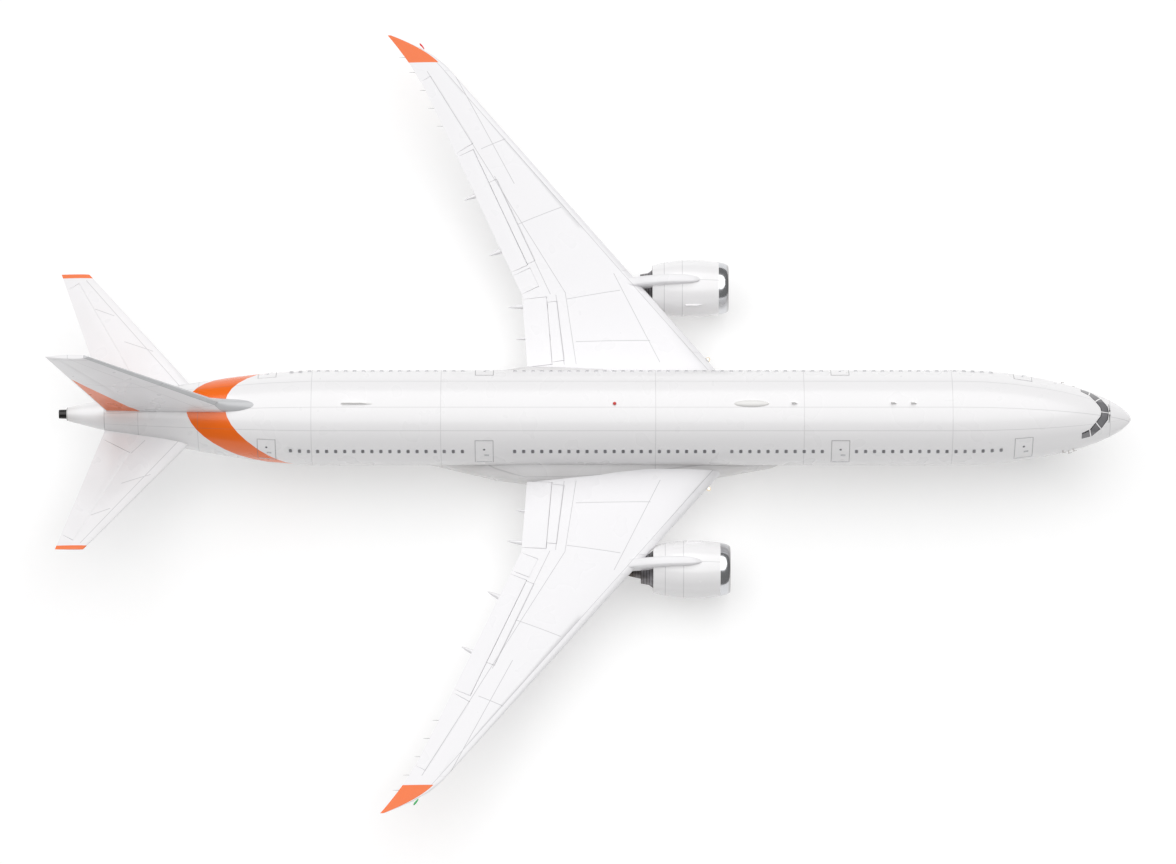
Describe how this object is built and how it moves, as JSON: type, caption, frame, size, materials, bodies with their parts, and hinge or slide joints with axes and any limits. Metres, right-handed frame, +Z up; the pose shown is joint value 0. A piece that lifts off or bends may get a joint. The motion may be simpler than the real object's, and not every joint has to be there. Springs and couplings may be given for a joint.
{
  "type": "twin-engine wide-body airliner, 1:2 scale model",
  "caption": "Low-wing wide-body passenger jet with two underwing turbofans, working control surfaces, flaps and spoilers, parked on its wheeled landing gear.",
  "frame": {"origin": "on the ground below the middle of the aircraft's length, on its centre plane", "axes": "+X towards the nose, +Y towards the port wing tip, +Z up"},
  "size_m": [34.1, 25.9, 8.9],
  "materials": {
    "white_paint": "gloss white paint",
    "polished_metal": "polished",
    "exhaust_metal": "heat-darkened",
    "fan_metal": "dark satin",
    "glazing": "dark glazing over a solid body",
    "gear_paint": "satin grey paint",
    "tyre_rubber": "matt"
  },
  "bodies": {
    "airframe": {"fuselage": "white_paint", "radome": "white_paint", "cockpit_glazing": "glazing", "tail_cone": "white_paint", "belly_fairing": "white_paint", "fin": "white_paint", "nose_gear_leg": "gear_paint", "nose_gear_door_left": "white_paint", "nose_gear_door_right": "white_paint", "door_1_left": "white_paint", "door_2_left": "white_paint", "door_3_left": "white_paint", "door_4_left": "white_paint", "door_1_right": "white_paint", "door_2_right": "white_paint", "door_3_right": "white_paint", "door_4_right": "white_paint", "wing_left": "white_paint", "slats_inboard_left": "white_paint", "slats_outboard_left": "white_paint", "pylon_left": "white_paint", "nacelle_left": "white_paint", "inlet_lip_left": "polished_metal", "engine_core_left": "exhaust_metal", "stabilizer_left": "white_paint", "main_gear_left": "gear_paint", "main_gear_door_left": "white_paint", "wing_right": "white_paint", "slats_inboard_right": "white_paint", "slats_outboard_right": "white_paint", "pylon_right": "white_paint", "nacelle_right": "white_paint", "inlet_lip_right": "polished_metal", "engine_core_right": "exhaust_metal", "stabilizer_right": "white_paint", "main_gear_right": "gear_paint", "main_gear_door_right": "white_paint"},
    "rudder": {"rudder": "white_paint"},
    "nose_steering": {"nose_steering": "gear_paint"},
    "nose_wheels": {"nose_wheels": "tyre_rubber"},
    "flap_inboard_left": {"flap_inboard_left": "white_paint"},
    "flap_outboard_left": {"flap_outboard_left": "white_paint"},
    "flaperon_left": {"flaperon_left": "white_paint"},
    "aileron_left": {"aileron_left": "white_paint"},
    "spoilers_inboard_left": {"spoilers_inboard_left": "white_paint"},
    "spoilers_outboard_left": {"spoilers_outboard_left": "white_paint"},
    "fan_left": {"fan_left": "fan_metal"},
    "elevator_left": {"elevator_left": "white_paint"},
    "wheels_front_left": {"wheels_front_left": "tyre_rubber"},
    "wheels_rear_left": {"wheels_rear_left": "tyre_rubber"},
    "flap_inboard_right": {"flap_inboard_right": "white_paint"},
    "flap_outboard_right": {"flap_outboard_right": "white_paint"},
    "flaperon_right": {"flaperon_right": "white_paint"},
    "aileron_right": {"aileron_right": "white_paint"},
    "spoilers_inboard_right": {"spoilers_inboard_right": "white_paint"},
    "spoilers_outboard_right": {"spoilers_outboard_right": "white_paint"},
    "fan_right": {"fan_right": "fan_metal"},
    "elevator_right": {"elevator_right": "white_paint"},
    "wheels_front_right": {"wheels_front_right": "tyre_rubber"},
    "wheels_rear_right": {"wheels_rear_right": "tyre_rubber"}
  },
  "joints": [
    {"name": "rudder_hinge", "type": "hinge", "parent": "airframe", "child": "rudder", "pos_m": [-15.525, 0, 6.4], "axis": [-0.4234, 0, 0.9059], "range_deg": [-25, 25]},
    {"name": "nose_gear_turn", "type": "hinge", "parent": "airframe", "child": "nose_steering", "pos_m": [13.9, 0, 0.254], "axis": [0, 0, 1], "range_deg": [-60, 60]},
    {"name": "nose_wheels_spin", "type": "hinge", "parent": "nose_steering", "child": "nose_wheels", "pos_m": [13.9, 0, 0.254], "axis": [0, 1, 0], "continuous": true},
    {"name": "flap_inboard_left_hinge", "type": "hinge", "parent": "airframe", "child": "flap_inboard_left", "pos_m": [-1.4786, 3.10344, 1.68148], "axis": [-0.0811, 0.9944, 0.0674], "range_deg": [-35, 0]},
    {"name": "flap_outboard_left_hinge", "type": "hinge", "parent": "airframe", "child": "flap_outboard_left", "pos_m": [-3.06913, 7.19618, 1.95904], "axis": [-0.4164, 0.9071, 0.0615], "range_deg": [-35, 0]},
    {"name": "flaperon_left_hinge", "type": "hinge", "parent": "airframe", "child": "flaperon_left", "pos_m": [-1.9915, 4.85, 2.00035], "axis": [-0.4159, 0.9073, 0.0615], "range_deg": [-20, 20]},
    {"name": "aileron_left_hinge", "type": "hinge", "parent": "airframe", "child": "aileron_left", "pos_m": [-4.6665, 10.425, 2.37833], "axis": [-0.5184, 0.8532, 0.0578], "range_deg": [-25, 20]},
    {"name": "spoilers_inboard_left_hinge", "type": "hinge", "parent": "airframe", "child": "spoilers_inboard_left", "pos_m": [-1.13151, 3.0668, 2.00272], "axis": [-0.1195, 0.9915, 0.0505], "range_deg": [0, 45]},
    {"name": "spoilers_outboard_left_hinge", "type": "hinge", "parent": "airframe", "child": "spoilers_outboard_left", "pos_m": [-2.5775, 6.74564, 2.20701], "axis": [-0.4164, 0.9073, 0.0579], "range_deg": [0, 45]},
    {"name": "fan_left_spin", "type": "hinge", "parent": "airframe", "child": "fan_left", "pos_m": [3.36, 4.7, 1.38], "axis": [1, 0, 0], "continuous": true},
    {"name": "elevator_left_hinge", "type": "hinge", "parent": "airframe", "child": "elevator_left", "pos_m": [-15.655, 2.775, 3.0245], "axis": [-0.4952, 0.8645, 0.0864], "range_deg": [-20, 25]},
    {"name": "wheels_front_left_spin", "type": "hinge", "parent": "airframe", "child": "wheels_front_left", "pos_m": [-0.27, 2.45, 0.343], "axis": [0, 1, 0], "continuous": true},
    {"name": "wheels_rear_left_spin", "type": "hinge", "parent": "airframe", "child": "wheels_rear_left", "pos_m": [-1.03, 2.45, 0.343], "axis": [0, 1, 0], "continuous": true},
    {"name": "flap_inboard_right_hinge", "type": "hinge", "parent": "airframe", "child": "flap_inboard_right", "pos_m": [-1.4786, -3.10344, 1.68148], "axis": [0.0811, 0.9944, -0.0674], "range_deg": [-35, 0]},
    {"name": "flap_outboard_right_hinge", "type": "hinge", "parent": "airframe", "child": "flap_outboard_right", "pos_m": [-3.06913, -7.19618, 1.95904], "axis": [0.4164, 0.9071, -0.0615], "range_deg": [-35, 0]},
    {"name": "flaperon_right_hinge", "type": "hinge", "parent": "airframe", "child": "flaperon_right", "pos_m": [-1.9915, -4.85, 2.00035], "axis": [0.4159, 0.9073, -0.0615], "range_deg": [-20, 20]},
    {"name": "aileron_right_hinge", "type": "hinge", "parent": "airframe", "child": "aileron_right", "pos_m": [-4.6665, -10.425, 2.37833], "axis": [0.5184, 0.8532, -0.0578], "range_deg": [-25, 20]},
    {"name": "spoilers_inboard_right_hinge", "type": "hinge", "parent": "airframe", "child": "spoilers_inboard_right", "pos_m": [-1.13151, -3.0668, 2.00272], "axis": [0.1195, 0.9915, -0.0505], "range_deg": [0, 45]},
    {"name": "spoilers_outboard_right_hinge", "type": "hinge", "parent": "airframe", "child": "spoilers_outboard_right", "pos_m": [-2.5775, -6.74564, 2.20701], "axis": [0.4164, 0.9073, -0.0579], "range_deg": [0, 45]},
    {"name": "fan_right_spin", "type": "hinge", "parent": "airframe", "child": "fan_right", "pos_m": [3.36, -4.7, 1.38], "axis": [1, 0, 0], "continuous": true},
    {"name": "elevator_right_hinge", "type": "hinge", "parent": "airframe", "child": "elevator_right", "pos_m": [-15.655, -2.775, 3.0245], "axis": [0.4952, 0.8645, -0.0864], "range_deg": [-20, 25]},
    {"name": "wheels_front_right_spin", "type": "hinge", "parent": "airframe", "child": "wheels_front_right", "pos_m": [-0.27, -2.45, 0.343], "axis": [0, 1, 0], "continuous": true},
    {"name": "wheels_rear_right_spin", "type": "hinge", "parent": "airframe", "child": "wheels_rear_right", "pos_m": [-1.03, -2.45, 0.343], "axis": [0, 1, 0], "continuous": true}
  ]
}
